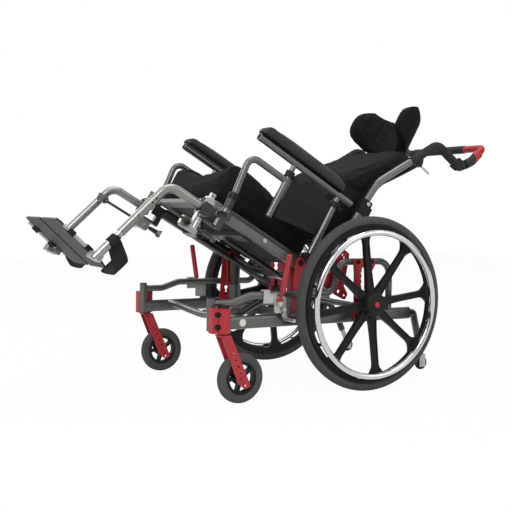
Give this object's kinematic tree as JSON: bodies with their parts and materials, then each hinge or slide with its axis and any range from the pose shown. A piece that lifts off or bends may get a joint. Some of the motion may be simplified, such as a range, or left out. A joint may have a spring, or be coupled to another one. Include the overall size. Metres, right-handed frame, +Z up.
{
  "type": "tilt in space wheelchair",
  "caption": "Manual tilt-in-space wheelchair: tilting seat and reclining back on a low tube base, large hand-rimmed wheels, casters, elevating legrests and a winged headrest.",
  "frame": {"origin": "on the floor under the middle of the chair's outer box", "axes": "+Z up, -Y the way the sitter faces, +X the sitter's left"},
  "size_m": [0.711, 1.5495, 0.9522],
  "materials": {
    "frame": "metallic grey paint",
    "hanger": "silver grey paint",
    "red": "textured red paint",
    "dark_metal": "black paint",
    "steel": "zinc plated",
    "chrome": "polished",
    "black_plastic": "moulded",
    "pale_plastic": "moulded",
    "upholstery": "spacer mesh",
    "foam_grip": "foam",
    "tyre_rubber": "grooved",
    "pad_skin": "satin vinyl",
    "webbing": "woven strap"
  },
  "bodies": {
    "base": {"lower_rails": "frame", "upper_rails": "frame", "base_cross_tubes": "frame", "caster_housings": "red", "pivot_and_axle_plates": "red", "base_bolts_and_caps": "black_plastic", "anti_tip_tubes": "dark_metal", "wheel_lock_brackets": "steel"},
    "seat": {"seat_rails": "frame", "seat_cross_beams": "dark_metal", "seat_pan": "pale_plastic", "seat_cushion": "upholstery", "back_pivot_plates": "red", "arm_frames": "frame", "side_panels": "black_plastic"},
    "back": {"back_canes": "frame", "back_shell_and_clamps": "black_plastic", "back_cushion": "upholstery", "push_grips": "foam_grip"},
    "push_bar": {"push_bar": "foam_grip"},
    "headrest_stem": {"headrest_stem": "steel"},
    "headrest": {"headrest_yoke": "dark_metal", "headrest_pad": "upholstery"},
    "tilt_lever": {"tilt_lever": "steel"},
    "strut_cylinder": {"strut_cylinder": "dark_metal"},
    "strut_rod": {"strut_rod": "steel"},
    "arm_left": {"arm_top_left": "frame", "arm_pad_left": "pad_skin"},
    "lock_lever_left": {"lock_lever_left": "red"},
    "lock_shoe_left": {"lock_shoe_left": "steel"},
    "wheel_left": {"rear_tyre_left": "tyre_rubber", "mag_wheel_left": "black_plastic", "handrim_left": "chrome"},
    "caster_left": {"caster_fork_left": "red"},
    "caster_wheel_left": {"caster_tyre_left": "tyre_rubber", "caster_hub_left": "black_plastic"},
    "anti_tip_wheel_left": {"anti_tip_wheel_left": "black_plastic"},
    "legrest_left": {"legrest_bracket_left": "steel"},
    "hanger_left": {"legrest_hanger_left": "hanger"},
    "ratchet_rod_left": {"legrest_rod_left": "dark_metal"},
    "footrest_left": {"footrest_tube_left": "steel", "heel_loop_left": "webbing"},
    "footplate_left": {"footplate_left": "black_plastic"},
    "arm_right": {"arm_top_right": "frame", "arm_pad_right": "pad_skin"},
    "lock_lever_right": {"lock_lever_right": "red"},
    "lock_shoe_right": {"lock_shoe_right": "steel"},
    "wheel_right": {"rear_tyre_right": "tyre_rubber", "mag_wheel_right": "black_plastic", "handrim_right": "chrome"},
    "caster_right": {"caster_fork_right": "red"},
    "caster_wheel_right": {"caster_tyre_right": "tyre_rubber", "caster_hub_right": "black_plastic"},
    "anti_tip_wheel_right": {"anti_tip_wheel_right": "black_plastic"},
    "legrest_right": {"legrest_bracket_right": "steel"},
    "hanger_right": {"legrest_hanger_right": "hanger"},
    "ratchet_rod_right": {"legrest_rod_right": "dark_metal"},
    "footrest_right": {"footrest_tube_right": "steel", "heel_loop_right": "webbing"},
    "footplate_right": {"footplate_right": "black_plastic"}
  },
  "joints": [
    {"name": "seat_tilt", "type": "hinge", "parent": "base", "child": "seat", "pos_m": [0, -0.0207, 0.412], "axis": [-1, 0, 0], "range_deg": [-30, 15]},
    {"name": "strut_swing", "type": "hinge", "parent": "base", "child": "strut_cylinder", "pos_m": [0.15, -0.2207, 0.229], "axis": [-1, 0, 0], "range_deg": [-4, 2]},
    {"name": "strut_slide", "type": "slide", "parent": "strut_cylinder", "child": "strut_rod", "axis": [0, 0.8851, 0.4654], "range_m": [-0.018, 0.035]},
    {"name": "back_recline", "type": "hinge", "parent": "seat", "child": "back", "pos_m": [0, 0.08437, 0.38598], "axis": [-1, 0, 0], "range_deg": [0, 30]},
    {"name": "push_bar_angle", "type": "hinge", "parent": "back", "child": "push_bar", "pos_m": [0, 0.64784, 0.74194], "axis": [-1, 0, 0], "range_deg": [-20, 40]},
    {"name": "headrest_height", "type": "slide", "parent": "back", "child": "headrest_stem", "axis": [0, 0.7969, 0.6041], "range_m": [0, 0.08]},
    {"name": "headrest_tilt", "type": "hinge", "parent": "headrest_stem", "child": "headrest", "pos_m": [0, 0.59771, 0.79512], "axis": [-1, 0, 0], "range_deg": [0, 20]},
    {"name": "tilt_lever_squeeze", "type": "hinge", "parent": "back", "child": "tilt_lever", "pos_m": [0.226, 0.46574, 0.73853], "axis": [1, 0, 0], "range_deg": [0, 18], "stiffness_Nm_per_rad": 0.6, "springref_deg": -5.73},
    {"name": "arm_height_left", "type": "slide", "parent": "seat", "child": "arm_left", "axis": [0, 0.5, 0.866], "range_m": [0, 0.075]},
    {"name": "lock_lever_turn_left", "type": "hinge", "parent": "base", "child": "lock_lever_left", "pos_m": [0.282, -0.1177, 0.291], "axis": [1, 0, 0], "range_deg": [0, 45]},
    {"name": "lock_shoe_turn_left", "type": "hinge", "parent": "base", "child": "lock_shoe_left", "pos_m": [0.282, -0.1017, 0.272], "axis": [1, 0, 0], "range_deg": [0, 28]},
    {"name": "wheel_spin_left", "type": "hinge", "parent": "base", "child": "wheel_left", "pos_m": [0.3128, 0.2043, 0.281], "axis": [1, 0, 0], "continuous": true},
    {"name": "caster_swivel_left", "type": "hinge", "parent": "base", "child": "caster_left", "pos_m": [0.288, -0.3147, 0.24], "axis": [0, 0, 1], "continuous": true},
    {"name": "caster_spin_left", "type": "hinge", "parent": "caster_left", "child": "caster_wheel_left", "pos_m": [0.288, -0.2563, 0.0756], "axis": [1, 0, 0], "continuous": true},
    {"name": "anti_tip_spin_left", "type": "hinge", "parent": "base", "child": "anti_tip_wheel_left", "pos_m": [0.216, 0.5049, 0.0533], "axis": [1, 0, 0], "continuous": true},
    {"name": "legrest_swing_left", "type": "hinge", "parent": "seat", "child": "legrest_left", "pos_m": [0.228, -0.37113, 0.54504], "axis": [0, 0.5, 0.866], "range_deg": [0, 90]},
    {"name": "legrest_elevate_left", "type": "hinge", "parent": "legrest_left", "child": "hanger_left", "pos_m": [0.228, -0.35213, 0.57795], "axis": [-1, 0, 0], "range_deg": [0, 45]},
    {"name": "ratchet_rod_turn_left", "type": "hinge", "parent": "hanger_left", "child": "ratchet_rod_left", "pos_m": [0.206, -0.49568, 0.59732], "axis": [1, 0, 0], "range_deg": [0, 9]},
    {"name": "footrest_length_left", "type": "slide", "parent": "hanger_left", "child": "footrest_left", "axis": [0, -0.7323, -0.681], "range_m": [-0.009, 0.045]},
    {"name": "footplate_flip_left", "type": "hinge", "parent": "footrest_left", "child": "footplate_left", "pos_m": [0.176, -0.71226, 0.48218], "axis": [0, 0.7266, -0.6871], "range_deg": [0, 90]},
    {"name": "arm_height_right", "type": "slide", "parent": "seat", "child": "arm_right", "axis": [0, 0.5, 0.866], "range_m": [0, 0.075]},
    {"name": "lock_lever_turn_right", "type": "hinge", "parent": "base", "child": "lock_lever_right", "pos_m": [-0.282, -0.1177, 0.291], "axis": [1, 0, 0], "range_deg": [0, 45]},
    {"name": "lock_shoe_turn_right", "type": "hinge", "parent": "base", "child": "lock_shoe_right", "pos_m": [-0.282, -0.1017, 0.272], "axis": [1, 0, 0], "range_deg": [0, 28]},
    {"name": "wheel_spin_right", "type": "hinge", "parent": "base", "child": "wheel_right", "pos_m": [-0.3128, 0.2043, 0.281], "axis": [1, 0, 0], "continuous": true},
    {"name": "caster_swivel_right", "type": "hinge", "parent": "base", "child": "caster_right", "pos_m": [-0.288, -0.3147, 0.24], "axis": [0, 0, 1], "continuous": true},
    {"name": "caster_spin_right", "type": "hinge", "parent": "caster_right", "child": "caster_wheel_right", "pos_m": [-0.288, -0.2563, 0.0756], "axis": [1, 0, 0], "continuous": true},
    {"name": "anti_tip_spin_right", "type": "hinge", "parent": "base", "child": "anti_tip_wheel_right", "pos_m": [-0.216, 0.5049, 0.0533], "axis": [1, 0, 0], "continuous": true},
    {"name": "legrest_swing_right", "type": "hinge", "parent": "seat", "child": "legrest_right", "pos_m": [-0.228, -0.37113, 0.54504], "axis": [0, -0.5, -0.866], "range_deg": [0, 90]},
    {"name": "legrest_elevate_right", "type": "hinge", "parent": "legrest_right", "child": "hanger_right", "pos_m": [-0.228, -0.35213, 0.57795], "axis": [-1, 0, 0], "range_deg": [0, 45]},
    {"name": "ratchet_rod_turn_right", "type": "hinge", "parent": "hanger_right", "child": "ratchet_rod_right", "pos_m": [-0.206, -0.49568, 0.59732], "axis": [1, 0, 0], "range_deg": [0, 9]},
    {"name": "footrest_length_right", "type": "slide", "parent": "hanger_right", "child": "footrest_right", "axis": [0, -0.7323, -0.681], "range_m": [-0.009, 0.045]},
    {"name": "footplate_flip_right", "type": "hinge", "parent": "footrest_right", "child": "footplate_right", "pos_m": [-0.176, -0.71226, 0.48218], "axis": [0, -0.7266, 0.6871], "range_deg": [0, 90]}
  ],
  "couplings": [
    {"joint": "strut_swing", "follows": "seat_tilt", "ratio": 0.112},
    {"joint": "strut_slide", "follows": "seat_tilt", "m_per_rad": -0.064},
    {"joint": "lock_shoe_turn_left", "follows": "lock_lever_turn_left", "ratio": 0.62},
    {"joint": "ratchet_rod_turn_left", "follows": "legrest_elevate_left", "ratio": 0.19},
    {"joint": "lock_shoe_turn_right", "follows": "lock_lever_turn_right", "ratio": 0.62},
    {"joint": "ratchet_rod_turn_right", "follows": "legrest_elevate_right", "ratio": 0.19}
  ]
}
